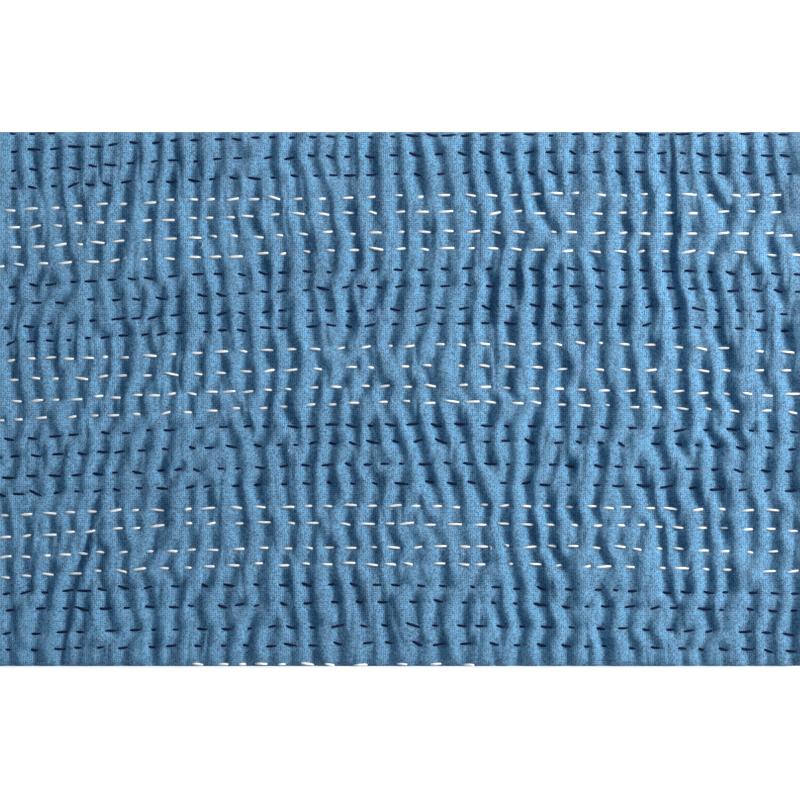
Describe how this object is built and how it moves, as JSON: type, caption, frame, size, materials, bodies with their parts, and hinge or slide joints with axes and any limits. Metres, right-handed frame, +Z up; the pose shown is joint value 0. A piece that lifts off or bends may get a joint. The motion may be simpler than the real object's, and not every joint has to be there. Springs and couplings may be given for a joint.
{
  "type": "cut length of kantha quilted cloth",
  "caption": "Cut length of quilted cotton cloth, drawn into wavy puckers by parallel rows of running stitch.",
  "frame": {"origin": "centre of the flat underside, on the surface that the cloth lies on", "axes": "+X along the sewn rows, +Y across them in the plane of the cloth, +Z up out of its face"},
  "size_m": [0.3, 0.2, 0.003],
  "materials": {
    "quilt_cloth": "matt plain-weave cotton, washed",
    "white_thread": "soft cotton thread",
    "navy_thread": "soft cotton thread"
  },
  "bodies": {
    "root": {"quilt_cloth": "quilt_cloth"}
  },
  "joints": []
}
